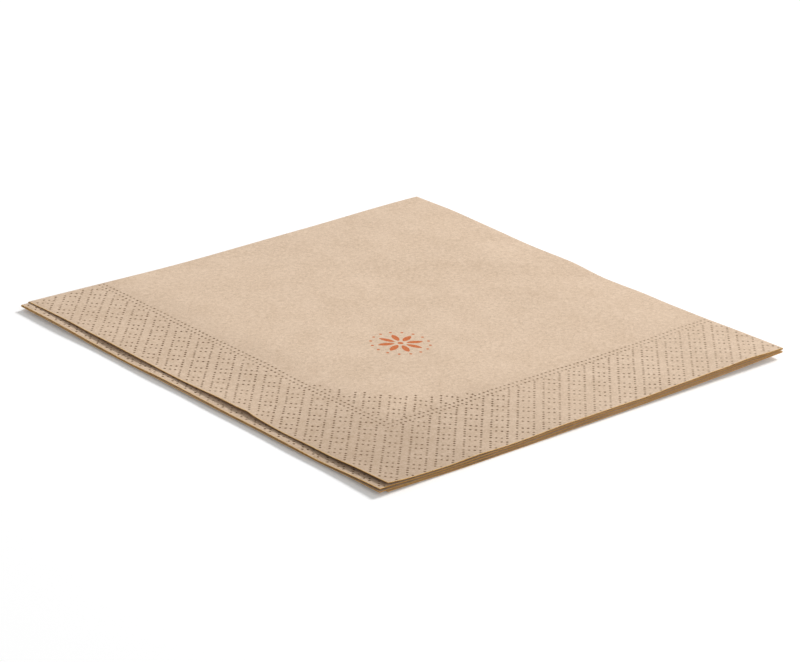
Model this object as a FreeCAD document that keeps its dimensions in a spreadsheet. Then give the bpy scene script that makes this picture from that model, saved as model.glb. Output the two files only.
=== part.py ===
"""Paper napkin, folded in quarters, with an embossed diamond border.

One square tissue sheet is folded in half, and the half is folded in half again, so the
napkin is four sheets thick. The first fold runs along the right side and the second along
the back. The raw edges lie together at the front and the left, where the two outer sheets
stop a little short of the two inner ones. A band of small embossed diamonds runs along
both raw sides, closed off by a double frame line, on the top and on the underside.

Axes: X right, Y back, Z up. The origin is the middle of the underside. Millimetres.
"""

import FreeCAD, Part
import math
import os

import Sketcher
from FreeCAD import Vector

SIZES = [
    ("side", 165.0, "side of the folded square"),
    ("sheet_thickness", 0.26, "one sheet of tissue, both plies"),
    ("first_gap", 0.12, "air inside the first fold"),
    ("second_gap", 0.16, "air inside the second fold"),
    ("raw_setback", 3.0, "outer sheets short of the inner ones at the left raw edge"),
    ("emboss_depth", 0.1, "depth of every embossed groove"),
    ("groove_width", 0.5, "width of a diamond's groove"),
    ("diamond_side", 4.7, "side of a diamond, along the middle of its groove"),
    ("lattice_pitch", 10.46, "from one diamond to the next along an edge"),
    ("diamond_inset_x", 25.4, "left edge to the inmost column of the left band"),
    ("diamond_inset_y", 22.8, "front edge to the inmost row of the front band"),
    ("frame_inset", 31.0, "left and front edges to the frame's inner line"),
    ("frame_line_width", 0.45, "width of a frame line"),
    ("frame_line_spacing", 1.8, "between the middles of the two frame lines"),
]

# Lattice places count half pitches from the diamond at the bands' shared inner corner.
# Each block is a name, whether its diamonds are whole or halves, its first column and row,
# and how many it has each way. None means as many as fit before the fold.
BLOCKS = [
    ("FrontEven", "whole", -4, -4, None, 3),
    ("FrontOdd", "whole", -3, -3, None, 2),
    ("FrontHalves", "half", 3, 1, None, 1),
    ("LeftEven", "whole", -4, 2, 3, None),
    ("LeftOdd", "whole", -3, 1, 2, None),
]
CORNER_PLACES = [(2, 4), (2, 6), (3, 3), (3, 5), (4, 4), (5, 3)]

# Sizes that several features share, as expressions on the sheet.
PACKET = "(2 * Sizes.sheet_thickness + Sizes.first_gap)"
FIRST_RADIUS = f"({PACKET} / 2)"
SECOND_RADIUS = f"({PACKET} + Sizes.second_gap / 2)"
GROOVE_REACH = "((Sizes.diamond_side + Sizes.groove_width) / sqrt(2))"
GROOVE_INSIDE = "((Sizes.diamond_side - Sizes.groove_width) / sqrt(2))"


def size_sheet(doc):
    """The driving dimensions, one row each: what it is, and its value under an alias."""
    sheet = doc.addObject("Spreadsheet::Sheet", "Sizes")
    for row, (alias, value, meaning) in enumerate(SIZES, start=1):
        sheet.set(f"A{row}", meaning)
        sheet.set(f"B{row}", str(value))
        sheet.setAlias(f"B{row}", alias)
    doc.recompute()
    return sheet


def origin_item(body, role):
    """A plane or axis of the body's own origin."""
    return next(item for item in body.Origin.OriginFeatures if item.Role == role)


def new_sketch(body, name, plane, height):
    """A sketch on an origin plane, lifted along the plane's normal by an expression."""
    sketch = body.newObject("Sketcher::SketchObject", name)
    sketch.AttachmentSupport = [(origin_item(body, plane), "")]
    sketch.MapMode = "FlatFace"
    sketch.setExpression("AttachmentOffset.Base.z", height)
    return sketch


def worked_out(sketch, expression):
    """The present value of an expression on the sheet."""
    return float(sketch.evalExpression(expression))


def dimension(sketch, name, expression, *constraint):
    """A named constraint whose value follows the sheet."""
    value = worked_out(sketch, expression)
    index = sketch.addConstraint(Sketcher.Constraint(*constraint, value))
    sketch.renameConstraint(index, name)
    sketch.setExpression(f"Constraints.{name}", expression)


def polygon(sketch, points):
    """Closed straight outline through points. Gives the numbers of its lines."""
    ends = points[1:] + points[:1]
    lines = [sketch.addGeometry(Part.LineSegment(a, b)) for a, b in zip(points, ends)]
    for line, following in zip(lines, lines[1:] + lines[:1]):
        sketch.addConstraint(Sketcher.Constraint("Coincident", line, 2, following, 1))
    return lines


def hairpin_section(body, sizes):
    """The first fold in section, seen from the front: lower sheet, bend, upper sheet.

    It lies where the second fold begins, and below the line that the second fold turns
    about. The lower sheet is an outer one, so its left end is set back.
    """
    sketch = new_sketch(body, "HairpinSection", "XZ_Plane", f"{SECOND_RADIUS} - Sizes.side / 2")
    outer = sizes.sheet_thickness + sizes.first_gap / 2
    inner = sizes.first_gap / 2
    bend = Vector(sizes.side / 2 - outer, -sizes.second_gap / 2 - outer, 0)
    left = -sizes.side / 2
    up = Vector(0, 0, 1)

    def line(start_x, end_x, height):
        ends = (Vector(start_x, height, 0), Vector(end_x, height, 0))
        return sketch.addGeometry(Part.LineSegment(*ends))

    def end(x, low, high):
        return sketch.addGeometry(Part.LineSegment(Vector(x, low, 0), Vector(x, high, 0)))

    def half_turn(radius):
        circle = Part.Circle(bend, up, radius)
        return sketch.addGeometry(Part.ArcOfCircle(circle, -math.pi / 2, math.pi / 2))

    under = line(left + sizes.raw_setback, bend.x, bend.y - outer)
    outer_bend = half_turn(outer)
    top = line(bend.x, left, bend.y + outer)
    top_end = end(left, bend.y + outer, bend.y + inner)
    inside_top = line(left, bend.x, bend.y + inner)
    inner_bend = half_turn(inner)
    inside_under = line(bend.x, left + sizes.raw_setback, bend.y - inner)
    under_end = end(left + sizes.raw_setback, bend.y - inner, bend.y - outer)

    joints = [
        ("Tangent", under, 2, outer_bend, 1),
        ("Tangent", outer_bend, 2, top, 1),
        ("Coincident", top, 2, top_end, 1),
        ("Coincident", top_end, 2, inside_top, 1),
        ("Tangent", inside_top, 2, inner_bend, 2),
        ("Tangent", inner_bend, 1, inside_under, 1),
        ("Coincident", inside_under, 2, under_end, 1),
        ("Coincident", under_end, 2, under, 1),
        ("Coincident", outer_bend, 3, inner_bend, 3),
        ("Horizontal", under),
        ("Horizontal", inside_top),
        ("Vertical", top_end),
        ("Vertical", under_end),
    ]
    for joint in joints:
        sketch.addConstraint(Sketcher.Constraint(*joint))
    dimension(sketch, "top_drop", "Sizes.second_gap / 2", "DistanceY", top, 1, -1, 1)
    dimension(sketch, "sheet", "Sizes.sheet_thickness", "DistanceY", inside_top, 2, top, 1)
    dimension(sketch, "air", "Sizes.first_gap / 2", "Radius", inner_bend)
    dimension(sketch, "left_half", "Sizes.side / 2", "DistanceX", top, 2, -1, 1)
    dimension(sketch, "setback", "Sizes.raw_setback", "DistanceX", top, 2, under, 1)
    dimension(sketch, "to_bend", f"Sizes.side / 2 - {FIRST_RADIUS}", "DistanceX", -1, 1, top, 1)
    return sketch


def lower_half(body, sizes):
    """The half that lies below: one sheet folded over another, and half of the second fold."""
    section = hairpin_section(body, sizes)
    sheets = body.newObject("PartDesign::Pad", "LowerSheets")
    sheets.Profile = section
    sheets.setExpression("Length", f"Sizes.side - {SECOND_RADIUS}")

    fold = body.newObject("PartDesign::Revolution", "LowerFold")
    fold.Profile = section
    fold.ReferenceAxis = (section, ["H_Axis"])
    fold.Angle = 90


def transform_feature(body, kind, name):
    """A pattern or mirror of the body as it stands, which becomes the body's last feature.

    The base is named outright: left to itself, the document may work the feature out
    before the shape that it stands on.
    """
    base = body.Tip
    feature = body.newObject(f"PartDesign::{kind}", name)
    feature.BaseFeature = base
    feature.Refine = False
    body.Tip = feature
    return feature


def upper_half(body):
    """The half that lies on top is the lower one seen in a mirror, emboss and all."""
    upper = transform_feature(body, "Mirrored", "UpperHalf")
    upper.TransformMode = "Whole shape"
    upper.MirrorPlane = (origin_item(body, "XY_Plane"), [""])


def lattice_place(sketch, name, column, row):
    """A construction point at a place of the lattice, and where that is.

    Outlines round it are drawn at their true places from the start. Drawn roughly, the
    solver now and then closes one up to a point while it pulls it there.
    """
    place_x = f"Sizes.diamond_inset_x + {column} * Sizes.lattice_pitch / 2 - Sizes.side / 2"
    place_y = f"Sizes.diamond_inset_y + {row} * Sizes.lattice_pitch / 2 - Sizes.side / 2"
    middle = Vector(worked_out(sketch, place_x), worked_out(sketch, place_y), 0)
    place = sketch.addGeometry(Part.Point(middle), True)
    dimension(sketch, f"{name}_x", place_x, "DistanceX", -1, 1, place, 1)
    dimension(sketch, f"{name}_y", place_y, "DistanceY", -1, 1, place, 1)
    return place, middle


def diamond_outline(sketch, name, place, middle, reach):
    """One square standing on its corner, round a place of the lattice."""
    away = worked_out(sketch, reach)
    sides = [(1, 0), (0, 1), (-1, 0), (0, -1)]
    east, north, west, south = polygon(sketch, [middle + away * Vector(x, y, 0) for x, y in sides])
    sketch.addConstraint(Sketcher.Constraint("Symmetric", east, 1, west, 1, place, 1))
    sketch.addConstraint(Sketcher.Constraint("Symmetric", north, 1, south, 1, place, 1))
    sketch.addConstraint(Sketcher.Constraint("Horizontal", place, 1, east, 1))
    sketch.addConstraint(Sketcher.Constraint("Vertical", place, 1, north, 1))
    dimension(sketch, f"{name}_across", reach, "DistanceX", place, 1, east, 1)
    dimension(sketch, f"{name}_up", reach, "DistanceY", place, 1, north, 1)


def whole_diamond(sketch, number, column, row):
    """The two outlines of one diamond's groove."""
    place, middle = lattice_place(sketch, f"place{number}", column, row)
    diamond_outline(sketch, f"outer{number}", place, middle, GROOVE_REACH)
    diamond_outline(sketch, f"inner{number}", place, middle, GROOVE_INSIDE)


def half_diamond(sketch, number, column, row):
    """The half of a diamond's groove that the frame leaves: a V in front of its place."""
    place, middle = lattice_place(sketch, f"place{number}", column, row)
    west, front, east = Vector(-1, 0, 0), Vector(0, -1, 0), Vector(1, 0, 0)
    outer, inner = worked_out(sketch, GROOVE_REACH), worked_out(sketch, GROOVE_INSIDE)
    points = [middle + outer * way for way in (west, front, east)]
    points += [middle + inner * way for way in (east, front, west)]
    outer_west, outer_tip, outer_east, inner_east, inner_tip, inner_west = polygon(sketch, points)
    arms = [
        ("outer", outer_west, outer_tip, outer_east, GROOVE_REACH),
        ("inner", inner_west, inner_tip, inner_east, GROOVE_INSIDE),
    ]
    for name, west, tip, east, reach in arms:
        sketch.addConstraint(Sketcher.Constraint("Symmetric", west, 1, east, 1, place, 1))
        sketch.addConstraint(Sketcher.Constraint("Horizontal", place, 1, east, 1))
        sketch.addConstraint(Sketcher.Constraint("Vertical", place, 1, tip, 1))
        dimension(sketch, f"{name}{number}_across", reach, "DistanceX", place, 1, east, 1)
        dimension(sketch, f"{name}{number}_deep", reach, "DistanceY", tip, 1, place, 1)


def groove(body, name, sketch):
    """A pocket of the emboss depth, cut up into the underside."""
    pocket = body.newObject("PartDesign::Pocket", name)
    pocket.Profile = sketch
    pocket.Reversed = True
    pocket.setExpression("Length", "Sizes.emboss_depth")
    return pocket


def diamonds(body, name, kind, places):
    """Diamond grooves, whole or halves, at the given lattice places of the underside."""
    sketch = new_sketch(body, f"{name}Sketch", "XY_Plane", f"-{SECOND_RADIUS}")
    draw = {"whole": whole_diamond, "half": half_diamond}[kind]
    for number, (column, row) in enumerate(places):
        draw(sketch, number, column, row)
    return groove(body, name, sketch)


def fitting(inset, start, fold_radius):
    """How many diamonds fit between a block's first place and the fold, as an expression."""
    room = f"Sizes.side - {inset} - {GROOVE_REACH} - {fold_radius}"
    return f"floor(({room}) / Sizes.lattice_pitch - {start} / 2) + 1"


def diamond_border(body):
    """The bands along the raw edges, and the few diamonds inside the frame's corner."""
    diamonds(body, "CornerDiamonds", "whole", CORNER_PLACES)
    firsts = []
    for name, kind, column, row, _, _ in BLOCKS:
        firsts.append(diamonds(body, name, kind, [(column, row)]))
    for first, (name, _, column, row, columns, rows) in zip(firsts, BLOCKS):
        block = transform_feature(body, "LinearPattern", f"{name}Block")
        block.Originals = [first]
        block.Direction = (origin_item(body, "X_Axis"), [""])
        block.Direction2 = (origin_item(body, "Y_Axis"), [""])
        block.Mode = "Spacing"
        block.Mode2 = "Spacing"
        block.setExpression("Offset", "Sizes.lattice_pitch")
        block.setExpression("Offset2", "Sizes.lattice_pitch")
        across = str(columns or fitting("Sizes.diamond_inset_x", column, FIRST_RADIUS))
        along = str(rows or fitting("Sizes.diamond_inset_y", row, SECOND_RADIUS))
        block.setExpression("Occurrences", across)
        block.setExpression("Occurrences2", along)


def frame_line(sketch, name, inset):
    """One frame line: an L that runs from its corner to past the two folds."""
    rough = [(0, 0), (9, 0), (9, 1), (1, 1), (1, 9), (0, 9)]
    lines = polygon(sketch, [Vector(x, y, 0) for x, y in rough])
    for number, line in enumerate(lines):
        sketch.addConstraint(Sketcher.Constraint("Vertical" if number % 2 else "Horizontal", line))
    corner = f"Sizes.side / 2 - {inset} + Sizes.frame_line_width / 2"
    dimension(sketch, f"{name}_x", corner, "DistanceX", lines[0], 1, -1, 1)
    dimension(sketch, f"{name}_y", corner, "DistanceY", lines[0], 1, -1, 1)
    dimension(sketch, f"{name}_wide", "Sizes.frame_line_width", "DistanceX", lines[4], 2, lines[4], 1)
    dimension(sketch, f"{name}_deep", "Sizes.frame_line_width", "DistanceY", lines[1], 1, lines[1], 2)
    dimension(sketch, f"{name}_right", "Sizes.side", "DistanceX", -1, 1, lines[0], 2)
    dimension(sketch, f"{name}_back", "Sizes.side", "DistanceY", -1, 1, lines[4], 2)


def frame_lines(body):
    """The double line that closes the diamond bands off from the plain field."""
    sketch = new_sketch(body, "FrameSketch", "XY_Plane", f"-{SECOND_RADIUS}")
    frame_line(sketch, "inner", "Sizes.frame_inset")
    frame_line(sketch, "outer", "(Sizes.frame_inset - Sizes.frame_line_spacing)")
    groove(body, "FrameLines", sketch)


def build_napkin(doc, sizes):
    """The napkin's body. It is modelled round the middle of the second fold, then raised."""
    body = doc.addObject("PartDesign::Body", "Napkin")
    body.Label = "napkin"
    body.setExpression("Placement.Base.z", SECOND_RADIUS)
    lower_half(body, sizes)
    frame_lines(body)
    diamond_border(body)
    upper_half(body)
    return body


def check(doc, bodies):
    """Stops if anything failed to build or a groove cut nothing, before a file is written."""
    for item in doc.Objects:
        if {"Invalid", "Error"} & set(item.State):
            raise RuntimeError(f"{item.Name} failed: {item.getStatusString()}")
        if item.TypeId in ("PartDesign::Pocket", "PartDesign::LinearPattern"):
            if item.Shape.Volume >= item.BaseFeature.Shape.Volume:
                raise RuntimeError(f"{item.Name} cuts nothing")
    for body in bodies:
        shape = body.Shape
        if shape.isNull() or not shape.isValid() or len(shape.Solids) != 1:
            raise RuntimeError(f"{body.Label} is not one valid solid")


def main():
    doc = FreeCAD.newDocument("PaperNapkin")
    sizes = size_sheet(doc)
    napkin = build_napkin(doc, sizes)
    doc.recompute()
    check(doc, [napkin])
    os.makedirs("parts", exist_ok=True)
    napkin.Shape.exportStep(f"parts/{napkin.Label}.step")
    box = napkin.Shape.optimalBoundingBox()
    print(f"{napkin.Label}: {box.XLength:.2f} x {box.YLength:.2f} x {box.ZLength:.3f} mm")
    print(f"volume {napkin.Shape.Volume:.1f} mm3, faces {len(napkin.Shape.Faces)}")


main()
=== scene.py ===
"""The looks of the folded paper napkin: tissue with its emboss, plies, loose lie and finish.

The napkin is one square sheet of two-ply tissue, folded over the right side and then over
the back. Its mesh is made flat, on a chart of the unfolded sheet, and every point is then
carried through both folds. Lengths are in metres; X right, Y back, Z up, as in the frame.
"""

import math

import bmesh
import bpy
import numpy as np
from mathutils import Euler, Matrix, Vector, kdtree
from mathutils.geometry import delaunay_2d_cdt


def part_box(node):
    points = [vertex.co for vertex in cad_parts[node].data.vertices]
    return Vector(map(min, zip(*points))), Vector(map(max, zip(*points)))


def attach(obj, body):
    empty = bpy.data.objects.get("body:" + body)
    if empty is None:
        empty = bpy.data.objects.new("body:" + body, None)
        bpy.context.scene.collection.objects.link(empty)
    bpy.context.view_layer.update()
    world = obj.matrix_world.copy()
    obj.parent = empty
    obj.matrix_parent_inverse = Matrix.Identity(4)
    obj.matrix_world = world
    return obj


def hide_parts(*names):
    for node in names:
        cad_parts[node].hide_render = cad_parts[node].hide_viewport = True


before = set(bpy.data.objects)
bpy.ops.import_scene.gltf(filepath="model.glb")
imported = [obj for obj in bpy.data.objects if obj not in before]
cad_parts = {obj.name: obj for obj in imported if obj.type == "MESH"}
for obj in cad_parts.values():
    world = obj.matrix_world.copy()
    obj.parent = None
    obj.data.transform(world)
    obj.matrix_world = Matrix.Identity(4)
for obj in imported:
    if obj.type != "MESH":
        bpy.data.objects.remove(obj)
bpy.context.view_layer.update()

MM = 0.001

# The folded square, from the frame
LOW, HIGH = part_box("napkin")
LEFT = LOW.x
RIGHT = HIGH.x
FRONT = LOW.y
BACK = HIGH.y
SIDE = RIGHT - LEFT

# The sheet: its thickness, how far its outer layers end short at the left, the air inside
# each of its two folds, and its side when it lies flat
SHEET = 0.26 * MM
SETBACK = 3.0 * MM
FIRST_AIR = 0.14 * MM
SECOND_AIR = 0.18 * MM

# The chart of the unfolded sheet. Half a bend takes this width of it, whatever its radius.
HALF_BEND = 4.0 * MM
BEND_X = RIGHT - SHEET - FIRST_AIR / 2
BEND_Y = BACK - 2 * SHEET - FIRST_AIR - SECOND_AIR / 2
OUTER_END = -(HALF_BEND + BEND_X - LEFT - SETBACK)
INNER_END = HALF_BEND + BEND_X - LEFT
FRONT_END = HALF_BEND + BEND_Y - FRONT

# Past this place a layer shifts outwards, so that its fold comes flush with the side
SHIFT_FROM = 60 * MM

# Emboss: a lattice of diamonds, each a square ring of pressed dots that stands on its point.
# It is laid out from one of its places, with so many lines to the left of that and before it.
LATTICE_STEP = 5.23 * MM
LATTICE_X = LEFT + 25.4 * MM
LATTICE_Y = FRONT + 22.8 * MM
LATTICE_BEFORE = 6
RING_DOTS = 4
DOT_STEP = 1.567 * MM

# Two dotted frame lines, and the arc up to which the lattice also fills their corner
FRAME_INSETS = (31.0 * MM, 29.2 * MM)
FRAME_DOT_STEP = 1.7 * MM
FRAME_CLEAR = 0.95 * MM
CORNER_ARC = 50.0 * MM
CORNER_CENTRE = -1.5 * MM

# One pressed dot, how far it strays from its place, and how clear it stays of an edge
DOT_CORNERS = 6
DOT_RIM = 0.47 * MM
DOT_FLOOR = 0.30 * MM
DOT_DEPTH = 0.17 * MM
DOT_SINK = 0.03 * MM
DOT_STRAY = 0.03 * MM
EDGE_CLEAR = 0.55 * MM

# How hard the dots are pressed: at the right, how much harder at the left, and how unevenly
PRESS_RIGHT = 0.70
PRESS_MORE_LEFT = 0.27
PRESS_UNEVEN = 0.12
PRESS_WAVES = (25 * MM, 60 * MM)
PRESS_OF_EACH = (0.70, 1.10)
PRESS_LIMITS = (0.35, 1.0)

# Painted shade on the embossed bands: how much darker they are painted between their dots,
# standing in for the shade where the top falls away from the light towards the left and the raw
# corner
PAINTED_SHADE_FADE = (FRAME_INSETS[0] - 1 * MM, FRAME_INSETS[0] + 11 * MM)
LEFT_PAINTED_SHADE = 0.095
LEFT_PAINTED_SHADE_FADE = (-60 * MM, 75 * MM)
CORNER_PAINTED_SHADE = 0.21
CORNER_PAINTED_SHADE_PLACE = (LEFT + 12 * MM, FRONT + 12 * MM)
CORNER_PAINTED_SHADE_REACH = 38 * MM

# Ornament printed on the plain field
PRINT_PLACE = (-9.0 * MM, -10.0 * MM)
PETALS = 8
PETAL_CORNERS = 12
PETAL_INNER = 1.9 * MM
PETAL_OUTER = 7.2 * MM
PETAL_WIDTH = 2.1 * MM
PETAL_TAPER = 0.4
PETAL_TURN = math.radians(22.5)
PRINT_EYE = 0.95 * MM
PRINT_BEADS = 16
BEAD_RING = 9.0 * MM
BEAD_SIZE = 0.5 * MM
DISC_CORNERS = 8

# The loose lie. Each corner has its place, how high it lifts and how far round it.
CORNER_LIFTS = (
    ((RIGHT, FRONT), 1.4 * MM, 38 * MM),
    ((RIGHT, BACK), 1.0 * MM, 42 * MM),
    ((LEFT, BACK), 0.7 * MM, 32 * MM),
    ((LEFT, FRONT), 0.2 * MM, 20 * MM),
)
LIE_SWELL = 0.24 * MM
LIE_WAVES = (40 * MM, 100 * MM)

# The soft bend across the back right, which fades out to the left, and the swell before it
SOFT_BEND_PLACE = (57 * MM, 9 * MM)
SOFT_BEND_TURN = math.radians(34.5)
SOFT_BEND_RISE = 0.85 * MM
SOFT_BEND_RUN = 15 * MM
SOFT_BEND_FADE = (-35 * MM, 60 * MM)
SWELL_BEFORE = 0.4 * MM
SWELL_PLACE = -13 * MM
SWELL_REACH = 8 * MM

# Loose air in the gaps between the layers. Each gap, the lowest first, has how much more it
# gets on the plain field, its uneven part, and the shortest and longest waves of that.
EVEN_PUFF = 0.10 * MM
PUFFS = (
    (0.16 * MM, 0.08 * MM, (18 * MM, 40 * MM)),
    (0.18 * MM, 0.08 * MM, (20 * MM, 45 * MM)),
    (0.20 * MM, 0.10 * MM, (16 * MM, 38 * MM)),
)
FIELD_FADE = 14 * MM
FOLD_FADE = (1 * MM, 22 * MM)

# Air at the raw edges: in every gap at the front, and under the top layer at the left
FRONT_AIR = 0.20 * MM
FRONT_AIR_UNEVEN = 0.18 * MM
FRONT_AIR_WAVES = (14 * MM, 60 * MM)
FRONT_AIR_REACH = 9 * MM
LEFT_AIR = 0.40 * MM
LEFT_AIR_UNEVEN = 0.20 * MM
LEFT_AIR_WAVES = (16 * MM, 50 * MM)
LEFT_AIR_REACH = 7 * MM
CORNER_AIR = 0.20 * MM
CORNER_AIR_REACH = 30 * MM

# How far the raw edges stray, and how far into the layer that is felt
LEFT_STRAY = 0.22 * MM
LEFT_STRAY_WAVES = (14 * MM, 70 * MM)
LEFT_STRAY_REACH = 30 * MM
FRONT_STRAY = 0.07 * MM
FRONT_STRAY_WAVES = (12 * MM, 60 * MM)
FRONT_STRAY_REACH = 25 * MM

# A small crease in the top layer's left edge
CREASE_Y = -22 * MM
CREASE_PULL = 0.4 * MM
CREASE_WIDTH = 2.2 * MM
CREASE_AIR = 0.25 * MM
CREASE_AIR_REACH = 5 * MM

# Random draws: how many plane waves make a swell, and the seeds. Where several gaps or layers
# draw alike, the number of the gap or layer is added to the seed.
WAVE_COUNT = 7
LIE_SEED = 3
PUFF_SEED = 11
LEFT_AIR_SEED = 14
FRONT_AIR_SEED = 15
LEFT_STRAY_SEED = 20
FRONT_STRAY_SEED = 30
DOT_SEED = 40
PRESS_SEED = 41
PRESS_OF_EACH_SEED = 42

# The four layers, the lowest first
LOWEST_LAYER, SECOND_LAYER, THIRD_LAYER, TOP_LAYER = range(4)

# The mesh: steps of its grids, and how clear of other points each grid stays
FINE_GRID = 2.0 * MM
COARSE_GRID = 4.0 * MM
TOP_CLEAR = 0.85 * MM
UNDERSIDE_CLEAR = 1.2 * MM
HIDDEN_CLEAR = 0.9 * MM
BEND_CLEAR = 0.6 * MM

# How far the emboss of the strip at the left goes on under the top layer
STRIP_MARGIN = 2 * MM

# The step that finds the slope of the surface, and the turn from which an edge is sharp
SLOPE_STEP = 0.02 * MM
SHARP_TURN = math.radians(21)

# The raw edge: its points, the notch where the plies part, and the rounding of its rims
RIM_STEP = 0.8 * MM
PLY_NOTCH = 0.22 * MM
FEATHER = 0.25 * MM
FEATHER_DEPTH = 0.05 * MM

# What is kept for each point of the chart
DEPTH, PRESS_AND_SHADE, EDGE = range(3)

# The napkin's materials, in the order of its material slots
TISSUE, PRINTED, PAINTED_LIGHT_CUT = range(3)

# For delaunay_2d_cdt: the output with every triangle, and how many millimetres apart two
# points are still one
ALL_TRIANGLES = 0
SAME_POINT = 1e-4

# Colours as they are seen
PAPER_LIGHT = (234, 209, 184)
PAPER_DARK = (206, 179, 151)
# The darkest tone: the dark fibres' own colour; in the dots, partly the pressed plies' own colour
# and partly painted shade in their hollows; on the bands, painted shade.
PRESSED_AND_SHADED = (102, 69, 32)
# The raw edge's colours are painted light: brighter and more golden than the paper, so that the
# shaded edge looks lit.
PAINTED_LIGHT_CUT_PALE = (244, 206, 122)
PAINTED_LIGHT_CUT_DEEP = (224, 174, 86)
INK = (198, 94, 34)
INK_THIN = (214, 132, 80)

# Ranges of shader values: the whole, where most of a noise lies, and what each part adds
WHOLE = (0.0, 1.0)
NOISE_SPAN = (0.3, 0.7)
CLOUD_TONE = (-0.12, 0.12)
PATCH_TONE = (-0.32, 0.32)
GRAIN_TONE = (0.1, 0.9)
FLECK_SPANS = ((0.66, 0.78), (0.67, 0.8))
FLECK_TONE = (0.0, 0.6)
FLECK_SHARE = (0.0, 0.5)
PRESS_AND_SHADE_SHARE = (0.0, 0.95)
EDGE_SHARE = (0.0, 0.7)
INK_SPAN = (0.35, 0.75)
CREPE_HEIGHT = (0.0, 0.55)
FIBRE_HEIGHT = (0.0, 0.45)

# How light meets the tissue and the floor. The relief is the full height of the crepe's bump.
RELIEF = 0.05 * MM
WHITE = (1, 1, 1, 1)
TISSUE_FINISH = {
    "Roughness": 0.92,
    "Specular IOR Level": 0.2,
    "Sheen Weight": 0.08,
    "Sheen Roughness": 0.6,
}
FLOOR_FINISH = {
    "Base Color": (0.95, 0.95, 0.95, 1),
    "Roughness": 0.9,
    "Specular IOR Level": 0.0,
    "Emission Color": WHITE,
}

# Sockets of the Mix node, which has several of each name
MIX_FACTOR, MIX_FIRST, MIX_SECOND = 0, 6, 7
MIX_RESULT = 2

# The floor and its glow for the camera, the light from all round, and two square lamps
FLOOR_REACH = 6.0
FLOOR_GLOW = (0.0, 0.12)
WORLD_LIGHT = 0.385
KEY_PLACE = (2.3, 0.1, 2.0)
KEY_SIZE = 0.8
KEY_POWER = 76.0
FILL_PLACE = (-0.5, -2.6, 1.8)
FILL_SIZE = 2.0
FILL_POWER = 15.0

# The camera. Its lens and sensor are in millimetres, as Blender has them.
CAMERA_PLACE = (-0.5836, -0.6155, 0.3466)
CAMERA_AIM = (0.0, 0.0, 1 * MM)
CAMERA_ROLL = math.radians(3.0)
CAMERA_LENS = 135.0
CAMERA_SENSOR = 36.0
CAMERA_CLIP = 0.01


def smooth(start, end, value):
    """0 at start, 1 at end, and level at both."""
    share = np.clip((value - start) / (end - start), 0.0, 1.0)
    return share * share * (3 - 2 * share)


def blend(first, second, share):
    """From the first value to the second as the share goes from 0 to 1."""
    return first * (1 - share) + second * share


def hill(x, y, at, reach):
    """A round hill of height 1 about a point."""
    return np.exp(-((x - at[0]) ** 2 + (y - at[1]) ** 2) / reach ** 2)


def ridge(value, at, reach):
    """A straight ridge of height 1, where the value is the distance across it."""
    return np.exp(-((value - at) / reach) ** 2)


def waves(x, y, seed, lengths):
    """Irregular swell between about -1 and 1, from plane waves of mixed length and direction."""
    rng = np.random.default_rng(seed)
    total = np.zeros(np.broadcast(x, y).shape)
    for _ in range(WAVE_COUNT):
        length = rng.uniform(*lengths)
        turn = rng.uniform(0, math.pi)
        phase = rng.uniform(0, 2 * math.pi)
        along = x * math.cos(turn) + y * math.sin(turn)
        total += np.sin(2 * math.pi * along / length + phase)
    return total / math.sqrt(2 * WAVE_COUNT)


def lift(x, y):
    """How far the napkin's underside stands off the floor: it is soft, and lies loosely.

    A soft bend runs slantwise to the right side, and behind it the napkin stands higher.
    """
    corners = sum(height * hill(x, y, at, reach) for at, height, reach in CORNER_LIFTS)
    behind = (x - SOFT_BEND_PLACE[0]) * math.sin(SOFT_BEND_TURN)
    behind = behind + (y - SOFT_BEND_PLACE[1]) * math.cos(SOFT_BEND_TURN)
    rise = SOFT_BEND_RISE * smooth(0, SOFT_BEND_RUN, behind)
    swell_before = SWELL_BEFORE * ridge(behind, SWELL_PLACE, SWELL_REACH)
    bend = (rise + swell_before) * smooth(*SOFT_BEND_FADE, x)
    swell = LIE_SWELL * (1 + waves(x, y, LIE_SEED, LIE_WAVES))
    return corners + bend + np.maximum(swell, 0)


def field(x, y):
    """1 on the plain field and 0 on the embossed bands, where the layers lie closer."""
    start = FRAME_INSETS[0]
    end = start + FIELD_FADE
    return smooth(start, end, x - LEFT) * smooth(start, end, y - FRONT)


def freed(distance):
    """0 at a fold, which sets the air between the layers, and 1 away from it."""
    return smooth(*FOLD_FADE, distance)


def puff(x, y, gap):
    """Loose air in a gap between two layers, where gap 0 is the lowest and 2 the highest.

    At the raw front edges there is more of it, in some places more than in others.
    """
    on_field, uneven, lengths = PUFFS[gap]
    air = EVEN_PUFF + on_field * field(x, y)
    air = air + uneven * waves(x, y, PUFF_SEED + gap, lengths)
    swing = waves(x, 0.0, FRONT_AIR_SEED + gap, FRONT_AIR_WAVES)
    at_front = FRONT_AIR + FRONT_AIR_UNEVEN * swing
    return air + at_front * np.exp(-(y - FRONT) / FRONT_AIR_REACH)


def first_air(x, y):
    """Air between the two lowest layers."""
    return FIRST_AIR + freed(BEND_X - x) * freed(BEND_Y - y) * np.maximum(puff(x, y, 0), 0)


def second_air(x, y):
    """Air inside the second fold. It opens towards the corner where all edges are raw."""
    air = puff(x, y, 1) + CORNER_AIR * hill(x, y, (LEFT, FRONT), CORNER_AIR_REACH)
    return SECOND_AIR + freed(BEND_Y - y) * np.maximum(air, 0)


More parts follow.
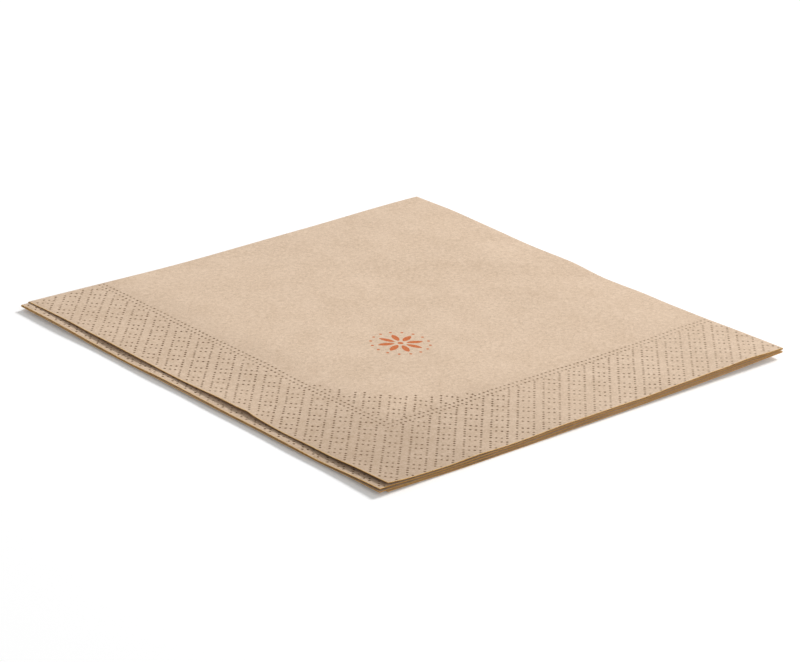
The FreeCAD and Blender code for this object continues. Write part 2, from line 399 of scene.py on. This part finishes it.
def third_air(x, y):
    """Air under the top layer, whose raw left edge stands up a little."""
    at_left = LEFT_AIR + LEFT_AIR_UNEVEN * waves(0.0, y, LEFT_AIR_SEED, LEFT_AIR_WAVES)
    air = puff(x, y, 2) + at_left * np.exp(-(x - LEFT - SETBACK) / LEFT_AIR_REACH)
    air = air + CREASE_AIR * hill(x, y, (LEFT, CREASE_Y), CREASE_AIR_REACH)
    return FIRST_AIR + freed(BEND_X - x) * freed(BEND_Y - y) * np.maximum(air, 0)


def layer_heights(x, y):
    """Heights of the middles of the four layers, the lowest first."""
    lowest = SHEET / 2 + lift(x, y)
    second = lowest + SHEET + first_air(x, y)
    third = second + SHEET + second_air(x, y)
    return lowest, second, third, third + SHEET + third_air(x, y)


def left_stray(y, layer):
    """How far a layer's raw left edge strays sideways."""
    stray = LEFT_STRAY * waves(y, 0.0, LEFT_STRAY_SEED + layer, LEFT_STRAY_WAVES)
    if layer == TOP_LAYER:
        stray = stray + CREASE_PULL * ridge(y, CREASE_Y, CREASE_WIDTH)
    return stray


def front_stray(x, layer):
    """How far a layer's raw front edge strays: little, because the knife cut all four at once."""
    return FRONT_STRAY * waves(x, 0.0, FRONT_STRAY_SEED + layer, FRONT_STRAY_WAVES)


def unrolled(value, bend_place):
    """The flat coordinate that a chart coordinate lies over, with its bend counted as none."""
    return bend_place - np.maximum(np.abs(value) - HALF_BEND, 0)


def bend_turn(value):
    """The angle round a bend: -90 degrees where it starts and 90 where it ends."""
    return np.clip(value / HALF_BEND, -1, 1) * math.pi / 2


def packet(a, y, upper):
    """Chart coordinate a, carried through the first fold. Gives x, the stray of y, and z.

    The second fold leaves two such packets on each other, the upper and the lower one.
    """
    outer_layer, inner_layer = LOWEST_LAYER, SECOND_LAYER
    if upper:
        outer_layer, inner_layer = TOP_LAYER, THIRD_LAYER
    flat_x = unrolled(a, BEND_X)
    turn = bend_turn(a)
    inner = (1 + np.sin(turn)) / 2
    heights = layer_heights(flat_x, y)
    z = blend(heights[outer_layer], heights[inner_layer], inner)
    at_fold = layer_heights(BEND_X, y)
    radius = np.abs(at_fold[outer_layer] - at_fold[inner_layer]) / 2
    shift = RIGHT - SHEET / 2 - radius - BEND_X
    x = flat_x + shift * smooth(SHIFT_FROM, BEND_X, flat_x) + radius * np.cos(turn)
    near_left = 1 - smooth(LEFT, LEFT + LEFT_STRAY_REACH, flat_x)
    x = x + near_left * np.where(a < 0, left_stray(y, outer_layer), left_stray(y, inner_layer))
    stray = blend(front_stray(flat_x, outer_layer), front_stray(flat_x, inner_layer), inner)
    return x, stray, z


def middle_surface(a, b):
    """The folded sheet's middle at chart point (a, b), as an array of points."""
    flat_x = unrolled(a, BEND_X)
    flat_y = unrolled(b, BEND_Y)
    turn = bend_turn(b)
    upward = (1 + np.sin(turn)) / 2
    low_x, low_stray, low_z = packet(a, flat_y, upper=False)
    high_x, high_stray, high_z = packet(a, flat_y, upper=True)
    x = blend(low_x, high_x, upward)
    z = blend(low_z, high_z, upward)
    at_fold = layer_heights(flat_x, BEND_Y)
    outer_radius = (at_fold[TOP_LAYER] - at_fold[LOWEST_LAYER]) / 2
    low_fold = packet(a, BEND_Y, upper=False)[2]
    high_fold = packet(a, BEND_Y, upper=True)[2]
    radius = (high_fold - low_fold) / 2
    shift = BACK - SHEET / 2 - outer_radius - BEND_Y
    y = flat_y + shift * smooth(SHIFT_FROM, BEND_Y, flat_y) + radius * np.cos(turn)
    near_front = 1 - smooth(FRONT, FRONT + FRONT_STRAY_REACH, flat_y)
    y = y + near_front * blend(low_stray, high_stray, upward)
    return np.stack([x, y, z], -1)


def surface(a, b, offset):
    """Points at a distance from the sheet's middle, towards the side that faces inwards."""
    along = middle_surface(a + SLOPE_STEP, b) - middle_surface(a - SLOPE_STEP, b)
    across = middle_surface(a, b + SLOPE_STEP) - middle_surface(a, b - SLOPE_STEP)
    normal = np.cross(along, across)
    normal /= np.linalg.norm(normal, axis=-1, keepdims=True)
    return middle_surface(a, b) + normal * offset[:, None]


def chart_point(x, y, outer, upper):
    """Where the chart holds a flat place: on the outer or inner layer of either packet."""
    a = HALF_BEND + BEND_X - x
    b = HALF_BEND + BEND_Y - y
    return (-a if outer else a), (b if upper else -b)


def diamond_dots(x, y):
    """The dots of one diamond: the rim of a square of dots, turned to stand on its point."""
    dots = []
    last = RING_DOTS - 1
    for i in range(RING_DOTS):
        for j in range(RING_DOTS):
            if i in (0, last) or j in (0, last):
                along = (i + j - last) * DOT_STEP / math.sqrt(2)
                across = (i - j) * DOT_STEP / math.sqrt(2)
                dots.append((x + along, y + across))
    return dots


def lattice_dots():
    """Every dot of the diamond lattice on the square, as an array of x, y."""
    dots = []
    lines = range(-LATTICE_BEFORE, int(SIDE / LATTICE_STEP) + 2)
    for column in lines:
        for row in lines:
            if (column + row) % 2 == 0:
                x = LATTICE_X + column * LATTICE_STEP
                y = LATTICE_Y + row * LATTICE_STEP
                dots += diamond_dots(x, y)
    return np.array(dots)


def in_bands(x, y):
    """Where the lattice is embossed: outside the frame, and in its corner up to an arc."""
    inner, outer = FRAME_INSETS
    nearest = np.minimum(x - LEFT, y - FRONT)
    outside = nearest < outer - FRAME_CLEAR
    past_arc = np.hypot(x - CORNER_CENTRE, y - CORNER_CENTRE) > CORNER_ARC + FRAME_CLEAR / 2
    corner = (x < CORNER_CENTRE) & (y < CORNER_CENTRE) & past_arc
    return outside | (corner & (nearest > inner + FRAME_CLEAR))


def frame_dots():
    """The dots of the two frame lines, which run from their corner to the folds."""
    dots = []
    for inset in FRAME_INSETS:
        count = int((SIDE - inset) / FRAME_DOT_STEP) + 1
        for number in range(count):
            dots.append((LEFT + inset + number * FRAME_DOT_STEP, FRONT + inset))
            if number:
                dots.append((LEFT + inset, FRONT + inset + number * FRAME_DOT_STEP))
    return np.array(dots)


def emboss_dots():
    """All dots of the emboss that one layer of the napkin carries."""
    lattice = lattice_dots()
    lattice = lattice[in_bands(lattice[:, 0], lattice[:, 1])]
    dots = np.concatenate([lattice, frame_dots()])
    return dots + np.random.default_rng(DOT_SEED).normal(0, DOT_STRAY, dots.shape)


def dot_strength(x, y):
    """How hard the dots are pressed: hardest at the left, and never quite evenly."""
    press_and_shade = PRESS_RIGHT + PRESS_MORE_LEFT * (1 - smooth(LEFT, RIGHT, x))
    press_and_shade = press_and_shade + PRESS_UNEVEN * waves(x, y, PRESS_SEED, PRESS_WAVES)
    of_each = np.random.default_rng(PRESS_OF_EACH_SEED).uniform(*PRESS_OF_EACH, len(x))
    return np.clip(press_and_shade * of_each, *PRESS_LIMITS)


def painted_band_shade(x, y):
    """Painted shade between the dots of the bands: darker towards the left, and most of all at
    the raw corner.
    """
    nearest = np.minimum(x - LEFT, y - FRONT)
    left = LEFT_PAINTED_SHADE * (1 - smooth(*LEFT_PAINTED_SHADE_FADE, x))
    corner = CORNER_PAINTED_SHADE * hill(x, y, CORNER_PAINTED_SHADE_PLACE, CORNER_PAINTED_SHADE_REACH)
    return (1 - smooth(*PAINTED_SHADE_FADE, nearest)) * (left + corner)


def within(dots, left, right, front, back):
    """The dots that lie inside a rectangle, clear of its sides."""
    x, y = dots[:, 0], dots[:, 1]
    inside = (x > left + EDGE_CLEAR) & (x < right - EDGE_CLEAR)
    return dots[inside & (y > front + EDGE_CLEAR) & (y < back - EDGE_CLEAR)]


class Chart:
    """Points and printed outlines of one side of the sheet, before they are triangulated."""

    def __init__(self):
        """Starts with the sheet's raw outline, and a line of points just inside it."""
        self.points = []
        self.traits = []
        self.outlines = []
        for a, b in rim_points(0):
            # The outline brings the raw edge's painted light onto the rim of each face.
            self.add(a, b, depth=FEATHER_DEPTH, edge=1.0)
        for a, b in rim_points(FEATHER):
            self.add(a, b)

    def add(self, a, b, depth=0.0, press_and_shade=0.0, edge=0.0):
        """A point, its depth below the face, its darkening, partly pressed plies and partly
        painted shade, and how far it is raw edge, whose tint is painted light.
        """
        self.points.append((a, b))
        self.traits.append((depth, press_and_shade, edge))

    def add_dot(self, a, b, strength, detailed):
        """A pressed dot: a ring that sinks a little, and a floor or only a bottom point."""
        # The bottom of the dot carries its darkening: partly the pressed plies, partly painted
        # shade in the hollow.
        rings = [(DOT_RIM, DOT_SINK * strength, 0.0)]
        if detailed:
            rings.append((DOT_FLOOR, DOT_DEPTH * strength, strength))
        else:
            self.add(a, b, DOT_DEPTH * strength, strength)
        for radius, depth, press_and_shade in rings:
            for corner in range(DOT_CORNERS):
                turn = 2 * math.pi * corner / DOT_CORNERS
                self.add(a + radius * math.cos(turn), b + radius * math.sin(turn), depth, press_and_shade)

    def add_outline(self, spots):
        """A closed outline of the print, kept as edges of the mesh."""
        first = len(self.points)
        for a, b in spots:
            self.add(a, b)
        self.outlines.append(list(range(first, len(self.points))))

    def add_grid(self, a_values, b_values, clear):
        """A grid of points, left out where others already lie close."""
        tree = kdtree.KDTree(len(self.points))
        for number, (a, b) in enumerate(self.points):
            tree.insert((a, b, 0), number)
        tree.balance()
        for a in a_values:
            for b in b_values:
                if tree.find((a, b, 0))[2] > clear:
                    self.add(a, b)

    def triangulate(self):
        """Chart points, their traits, triangles, which of those are printed, and the rim."""
        flat = [Vector((a / MM, b / MM)) for a, b in self.points]
        found = delaunay_2d_cdt(flat, [], self.outlines, ALL_TRIANGLES, SAME_POINT, True)
        corners, _, faces, sources, _, owners = found
        chart = np.array([(corner.x * MM, corner.y * MM) for corner in corners])
        traits = np.array([self.traits[source[0]] for source in sources])
        places = {source: place for place, group in enumerate(sources) for source in group}
        rim = [places[number] for number in range(len(rim_points(0)))]
        return chart, traits, faces, [bool(owner) for owner in owners], rim


def grid_values(start, end, step):
    """Evenly spaced values strictly between two ends."""
    count = max(2, round(abs(end - start) / step))
    return list(np.linspace(start, end, count + 1)[1:-1])


def bend_values():
    """Chart values across a bend, close enough to make it round."""
    return list(np.arange(-HALF_BEND, HALF_BEND + RIM_STEP / 2, RIM_STEP))


def rim_points(inset):
    """The sheet's raw outline on the chart, or one that far inside it, as a closed loop."""
    def side(start, end):
        return list(np.linspace(start, end, round(abs(end - start) / RIM_STEP) + 1)[:-1])

    outer = OUTER_END + inset
    inner = INNER_END - inset
    front = FRONT_END - inset
    loop = [(a, -front) for a in side(outer, inner)]
    loop += [(inner, b) for b in side(-front, front)]
    loop += [(a, front) for a in side(inner, outer)]
    loop += [(outer, b) for b in side(front, -front)]
    return loop


def petal_outline(turn):
    """The outline of one petal of the print, pointed at both ends."""
    spots = []
    middle = (PETAL_INNER + PETAL_OUTER) / 2
    half_length = (PETAL_OUTER - PETAL_INNER) / 2
    for corner in range(PETAL_CORNERS):
        angle = 2 * math.pi * corner / PETAL_CORNERS
        along = middle + half_length * math.cos(angle)
        across = PETAL_WIDTH / 2 * math.sin(angle) * abs(math.sin(angle)) ** PETAL_TAPER
        x = along * math.cos(turn) - across * math.sin(turn)
        y = along * math.sin(turn) + across * math.cos(turn)
        spots.append((x, y))
    return spots


def disc_outline(x, y, radius):
    """The outline of one round spot of the print."""
    turns = [2 * math.pi * corner / DISC_CORNERS for corner in range(DISC_CORNERS)]
    return [(x + radius * math.cos(turn), y + radius * math.sin(turn)) for turn in turns]


def ornament():
    """Outlines of the printed rosette: petals, an eye and a ring of beads."""
    outlines = []
    for petal in range(PETALS):
        outlines.append(petal_outline(PETAL_TURN + 2 * math.pi * petal / PETALS))
    outlines.append(disc_outline(0.0, 0.0, PRINT_EYE))
    for bead in range(PRINT_BEADS):
        turn = 2 * math.pi * bead / PRINT_BEADS
        x = BEAD_RING * math.cos(turn)
        y = BEAD_RING * math.sin(turn)
        outlines.append(disc_outline(x, y, BEAD_SIZE))
    return outlines


def outer_side():
    """The side of the sheet that shows on top and underneath, with its dots and print."""
    chart = Chart()
    shown = within(emboss_dots(), LEFT + SETBACK, BEND_X, FRONT, BEND_Y)
    for (x, y), strength in zip(shown, dot_strength(shown[:, 0], shown[:, 1])):
        on_top = chart_point(x, y, outer=True, upper=True)
        underneath = chart_point(x, y, outer=True, upper=False)
        chart.add_dot(*on_top, strength, detailed=True)
        chart.add_dot(*underneath, strength, detailed=False)
    print_x, print_y = PRINT_PLACE
    for outline in ornament():
        placed = [(print_x + x, print_y + y) for x, y in outline]
        spots = [chart_point(x, y, outer=True, upper=True) for x, y in placed]
        chart.add_outline(spots[::-1])
    outer = grid_values(OUTER_END, -HALF_BEND, FINE_GRID)
    inner = grid_values(HALF_BEND, INNER_END, COARSE_GRID)
    bend = bend_values()
    top = grid_values(HALF_BEND, FRONT_END, FINE_GRID)
    underside = grid_values(-FRONT_END, -HALF_BEND, COARSE_GRID)
    chart.add_grid(outer, top, TOP_CLEAR)
    chart.add_grid(outer[::2], underside, UNDERSIDE_CLEAR)
    chart.add_grid(outer + bend + inner, bend, BEND_CLEAR)
    chart.add_grid(bend, underside + top, BEND_CLEAR)
    chart.add_grid(inner, underside + top[::2], HIDDEN_CLEAR)
    return chart


def inner_side():
    """The side of the sheet that shows only on the strip past the top layer's raw edge."""
    chart = Chart()
    strip = within(emboss_dots(), LEFT, LEFT + SETBACK + STRIP_MARGIN, FRONT, BEND_Y)
    for (x, y), strength in zip(strip, dot_strength(strip[:, 0], strip[:, 1])):
        for upper in (True, False):
            spot = chart_point(x, y, outer=False, upper=upper)
            chart.add_dot(*spot, strength, detailed=True)
    across = grid_values(OUTER_END, -HALF_BEND, COARSE_GRID)
    across += grid_values(HALF_BEND, INNER_END, COARSE_GRID)
    along = grid_values(-FRONT_END, -HALF_BEND, COARSE_GRID)
    along += grid_values(HALF_BEND, FRONT_END, COARSE_GRID)
    bend = bend_values()
    chart.add_grid(across, along, HIDDEN_CLEAR)
    chart.add_grid(across + bend, bend, BEND_CLEAR)
    chart.add_grid(bend, along, BEND_CLEAR)
    return chart


def ply_notch():
    """The raw edge between its two faces, drawn in a little where the plies part."""
    rim = np.array(rim_points(0))
    a = np.clip(rim[:, 0], OUTER_END + PLY_NOTCH, INNER_END - PLY_NOTCH)
    b = np.clip(rim[:, 1], -FRONT_END + PLY_NOTCH, FRONT_END - PLY_NOTCH)
    return surface(a, b, np.zeros(len(rim)))


def strip_faces(near, far):
    """The faces that join two closed loops with the same number of points."""
    faces = []
    for number in range(len(near)):
        after = (number + 1) % len(near)
        faces.append([near[number], near[after], far[after], far[number]])
    return faces


def napkin_mesh():
    """The whole sheet as one closed mesh: both sides, joined round the raw edge."""
    points = []
    traits = []
    faces = []
    materials = []
    rims = []
    first = 0
    for facing, chart in ((-1, outer_side()), (1, inner_side())):
        places, found, triangles, printed, rim = chart.triangulate()
        a, b = places[:, 0], places[:, 1]
        # The bands' painted shade joins the dots' darkening in the same trait.
        tone = painted_band_shade(unrolled(a, BEND_X), unrolled(b, BEND_Y))
        found[:, PRESS_AND_SHADE] = np.maximum(found[:, PRESS_AND_SHADE], tone)
        points.append(surface(a, b, facing * (SHEET / 2 - found[:, DEPTH])))
        traits.append(found)
        faces += [[first + corner for corner in triangle] for triangle in triangles]
        materials += [PRINTED if inked else TISSUE for inked in printed]
        rims.append([first + corner for corner in rim])
        first += len(places)
    notch = ply_notch()
    points.append(notch)
    traits.append(np.zeros((len(notch), 3)))
    middle = list(range(first, first + len(notch)))
    raw_edge = strip_faces(rims[0], middle) + strip_faces(middle, rims[1])
    faces += raw_edge
    # The raw edge's faces take the material with its painted light.
    materials += [PAINTED_LIGHT_CUT] * len(raw_edge)

    mesh = bpy.data.meshes.new("folded_napkin")
    mesh.from_pydata(np.concatenate(points).tolist(), [], faces)
    mesh.polygons.foreach_set("material_index", materials)
    for column, name in ((PRESS_AND_SHADE, "press_and_shade"), (EDGE, "edge")):
        trait = mesh.attributes.new(name, "FLOAT", "POINT")
        trait.data.foreach_set("value", np.concatenate(traits)[:, column])
    mesh.validate()
    return mesh


def turn_outwards(mesh):
    """Makes every face look out of the closed sheet."""
    work = bmesh.new()
    work.from_mesh(mesh)
    bmesh.ops.recalc_face_normals(work, faces=work.faces)
    work.to_mesh(mesh)
    work.free()


def linear(colour):
    """A colour as it is seen, from 0 to 255, as the linear values that a shader takes."""
    def channel(value):
        share = value / 255
        return share / 12.92 if share <= 0.04045 else ((share + 0.055) / 1.055) ** 2.4
    return tuple(channel(value) for value in colour) + (1.0,)


class Nodes:
    """Short ways to add and join the nodes of one material."""

    def __init__(self, material):
        material.use_nodes = True
        self.tree = material.node_tree
        self.shader = self.tree.nodes["Principled BSDF"]

    def add(self, kind, **settings):
        """A new node with these settings."""
        node = self.tree.nodes.new(kind)
        for name, value in settings.items():
            setattr(node, name, value)
        return node

    def join(self, output, socket):
        """Links an output to a socket."""
        self.tree.links.new(output, socket)

    def finish(self, values):
        """Sets plain values on the shader's own sockets."""
        for name, value in values.items():
            self.shader.inputs[name].default_value = value

    def places(self, stretch, turn):
        """Position on the object in millimetres, turned about Z and then stretched."""
        coordinates = self.add("ShaderNodeTexCoord")
        turned = self.add("ShaderNodeMapping")
        turned.inputs["Rotation"].default_value = (0, 0, turn)
        turned.inputs["Scale"].default_value = (1 / MM, 1 / MM, 1 / MM)
        stretched = self.add("ShaderNodeMapping")
        stretched.inputs["Scale"].default_value = stretch
        self.join(coordinates.outputs["Object"], turned.inputs["Vector"])
        self.join(turned.outputs["Vector"], stretched.inputs["Vector"])
        return stretched.outputs["Vector"]

    def noise(self, scale, detail=3.0, roughness=0.5, stretch=(1, 1, 1), turn=0.0):
        """A noise on the object, with its scale per millimetre."""
        node = self.add("ShaderNodeTexNoise")
        node.inputs["Scale"].default_value = scale
        node.inputs["Detail"].default_value = detail
        node.inputs["Roughness"].default_value = roughness
        self.join(self.places(stretch, turn), node.inputs["Vector"])
        return node.outputs["Fac"]

    def ranged(self, value, span, target):
        """A value carried from one range to another, and kept inside it."""
        node = self.add("ShaderNodeMapRange")
        self.join(value, node.inputs["Value"])
        for name, number in zip(("From Min", "From Max", "To Min", "To Max"), span + target):
            node.inputs[name].default_value = number
        return node.outputs["Result"]

    def total(self, *values):
        """The sum of several values."""
        result = values[0]
        for value in values[1:]:
            node = self.add("ShaderNodeMath", operation="ADD")
            self.join(result, node.inputs[0])
            self.join(value, node.inputs[1])
            result = node.outputs[0]
        return result

    def mix(self, factor, first, second):
        """Colours or outputs, mixed by an output."""
        node = self.add("ShaderNodeMix", data_type="RGBA", clamp_factor=True)
        self.join(factor, node.inputs[MIX_FACTOR])
        for place, colour in ((MIX_FIRST, first), (MIX_SECOND, second)):
            if isinstance(colour, tuple):
                node.inputs[place].default_value = linear(colour)
            else:
                self.join(colour, node.inputs[place])
        return node.outputs[MIX_RESULT]


def tissue_tone(nodes):
    """Clouds, patches and grain of the tissue, from about 0 to 1 together."""
    cloud = nodes.ranged(nodes.noise(scale=0.09), NOISE_SPAN, CLOUD_TONE)
    patch = nodes.ranged(nodes.noise(scale=0.8, roughness=0.65), NOISE_SPAN, PATCH_TONE)
    grain = nodes.ranged(nodes.noise(scale=2.1, roughness=0.7), NOISE_SPAN, GRAIN_TONE)
    return nodes.total(cloud, patch, grain)


def fibre_flecks(nodes):
    """Sparse darker fibres, lying two ways. The value is high on a fibre, and 0 off it."""
    one = nodes.noise(scale=1.0, detail=1.0, roughness=0.4, stretch=(0.5, 4.5, 1),
                      turn=math.radians(24))
    other = nodes.noise(scale=1.0, detail=1.0, roughness=0.4, stretch=(0.6, 5.0, 1),
                        turn=math.radians(-52))
    return nodes.total(nodes.ranged(one, FLECK_SPANS[0], FLECK_TONE),
                       nodes.ranged(other, FLECK_SPANS[1], FLECK_TONE))


def crepe_relief(nodes):
    """The height of the tissue's crepe and fibres, for its bump."""
    crepe = nodes.noise(scale=1.0, detail=2.0, stretch=(0.55, 2.1, 1), turn=math.radians(4))
    fibres = nodes.noise(scale=3.6, roughness=0.65)
    return nodes.total(nodes.ranged(crepe, WHOLE, CREPE_HEIGHT),
                       nodes.ranged(fibres, WHOLE, FIBRE_HEIGHT))


def tissue_finish(nodes, colour):
    """The soft matte finish and the crepe that all the napkin's materials share."""
    bump = nodes.add("ShaderNodeBump")
    bump.inputs["Strength"].default_value = 1.0
    bump.inputs["Distance"].default_value = RELIEF
    nodes.join(crepe_relief(nodes), bump.inputs["Height"])
    nodes.join(bump.outputs["Normal"], nodes.shader.inputs["Normal"])
    nodes.join(colour, nodes.shader.inputs["Base Color"])
    nodes.finish(TISSUE_FINISH)


def tissue_material():
    """Unbleached tissue, darker in the pressed dots, partly for the plies lying together there
    and partly as painted shade in their hollows, with painted shade on the bands and the raw
    edge's painted light along the rim.
    """
    material = bpy.data.materials.new("kraft_tissue")
    nodes = Nodes(material)
    plain = nodes.mix(tissue_tone(nodes), PAPER_DARK, PAPER_LIGHT)
    flecks = nodes.ranged(fibre_flecks(nodes), WHOLE, FLECK_SHARE)
    flecked = nodes.mix(flecks, plain, PRESSED_AND_SHADED)
    press_and_shade = nodes.add("ShaderNodeAttribute", attribute_name="press_and_shade")
    edge = nodes.add("ShaderNodeAttribute", attribute_name="edge")
    # Darkening of the dots and bands: partly the pressed plies' own colour, partly painted shade.
    press_and_shade_share = nodes.ranged(press_and_shade.outputs["Fac"], WHOLE, PRESS_AND_SHADE_SHARE)
    # Along the rim the raw edge's painted light is mixed in.
    edge_share = nodes.ranged(edge.outputs["Fac"], WHOLE, EDGE_SHARE)
    pressed = nodes.mix(press_and_shade_share, flecked, PRESSED_AND_SHADED)
    tissue_finish(nodes, nodes.mix(edge_share, pressed, PAINTED_LIGHT_CUT_PALE))
    return material


def print_material():
    """Ink that the tissue has drunk, thinner in places."""
    material = bpy.data.materials.new("printed_tissue")
    nodes = Nodes(material)
    thin = nodes.ranged(nodes.noise(scale=1.9, roughness=0.7), INK_SPAN, WHOLE)
    tissue_finish(nodes, nodes.mix(thin, INK, INK_THIN))
    return material


def painted_light_cut_material():
    """The raw edge in a bright golden ochre, which is painted light: it stands in for light and
    for the glow between the plies on this shaded edge.
    """
    material = bpy.data.materials.new("painted_light_cut_tissue")
    nodes = Nodes(material)
    tone = nodes.ranged(nodes.noise(scale=1.6, roughness=0.7), NOISE_SPAN, WHOLE)
    tissue_finish(nodes, nodes.mix(tone, PAINTED_LIGHT_CUT_DEEP, PAINTED_LIGHT_CUT_PALE))
    return material


def make_napkin():
    """The napkin, which stands for the plainer solid of the frame."""
    mesh = napkin_mesh()
    turn_outwards(mesh)
    mesh.shade_smooth()
    mesh.set_sharp_from_angle(angle=SHARP_TURN)
    for material in (tissue_material(), print_material(), painted_light_cut_material()):
        mesh.materials.append(material)
    napkin = bpy.data.objects.new("folded_napkin", mesh)
    bpy.context.scene.collection.objects.link(napkin)
    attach(napkin, "root")
    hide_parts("napkin")
    print("napkin triangles", sum(len(face.vertices) - 2 for face in mesh.polygons))


def make_floor():
    """Pale floor that shows white to the camera and keeps the shadow."""
    mesh = bpy.data.meshes.new("floor")
    corners = [(-FLOOR_REACH, -FLOOR_REACH, 0), (FLOOR_REACH, -FLOOR_REACH, 0),
               (FLOOR_REACH, FLOOR_REACH, 0), (-FLOOR_REACH, FLOOR_REACH, 0)]
    mesh.from_pydata(corners, [], [(0, 1, 2, 3)])
    material = bpy.data.materials.new("pale_floor")
    nodes = Nodes(material)
    nodes.finish(FLOOR_FINISH)
    path = nodes.add("ShaderNodeLightPath")
    glow = nodes.ranged(path.outputs["Is Camera Ray"], WHOLE, FLOOR_GLOW)
    nodes.join(glow, nodes.shader.inputs["Emission Strength"])
    mesh.materials.append(material)
    floor = bpy.data.objects.new("floor", mesh)
    bpy.context.scene.collection.objects.link(floor)


def make_world():
    """Soft light from all round, and white where the camera looks past the floor."""
    world = bpy.data.worlds.new("studio")
    world.use_nodes = True
    tree = world.node_tree
    soft = tree.nodes["Background"]
    soft.inputs["Color"].default_value = WHITE
    soft.inputs["Strength"].default_value = WORLD_LIGHT
    white = tree.nodes.new("ShaderNodeBackground")
    white.inputs["Color"].default_value = WHITE
    white.inputs["Strength"].default_value = 1.0
    path = tree.nodes.new("ShaderNodeLightPath")
    mix = tree.nodes.new("ShaderNodeMixShader")
    tree.links.new(path.outputs["Is Camera Ray"], mix.inputs["Fac"])
    tree.links.new(soft.outputs["Background"], mix.inputs[1])
    tree.links.new(white.outputs["Background"], mix.inputs[2])
    tree.links.new(mix.outputs["Shader"], tree.nodes["World Output"].inputs["Surface"])
    bpy.context.scene.world = world


def area_light(name, place, size, power):
    """A square lamp that points at the napkin."""
    lamp = bpy.data.lights.new(name, "AREA")
    lamp.shape = "SQUARE"
    lamp.size = size
    lamp.energy = power
    item = bpy.data.objects.new(name, lamp)
    item.location = place
    item.rotation_euler = (-Vector(place)).to_track_quat("-Z", "Y").to_euler()
    bpy.context.scene.collection.objects.link(item)


def make_camera():
    """The photograph's angle, lens and roll, aimed so that the napkin is in the middle."""
    data = bpy.data.cameras.new("camera")
    data.sensor_width = CAMERA_SENSOR
    data.lens = CAMERA_LENS
    data.clip_start = CAMERA_CLIP
    camera = bpy.data.objects.new("camera", data)
    camera.location = CAMERA_PLACE
    aim = Vector(CAMERA_AIM) - camera.location
    roll = Euler((0, 0, CAMERA_ROLL)).to_matrix()
    camera.rotation_euler = (aim.to_track_quat("-Z", "Y").to_matrix() @ roll).to_euler()
    bpy.context.scene.collection.objects.link(camera)
    bpy.context.scene.camera = camera


make_napkin()
make_floor()
make_world()
area_light("key", KEY_PLACE, KEY_SIZE, KEY_POWER)
area_light("fill", FILL_PLACE, FILL_SIZE, FILL_POWER)
make_camera()
bpy.context.scene.view_settings.view_transform = "Standard"
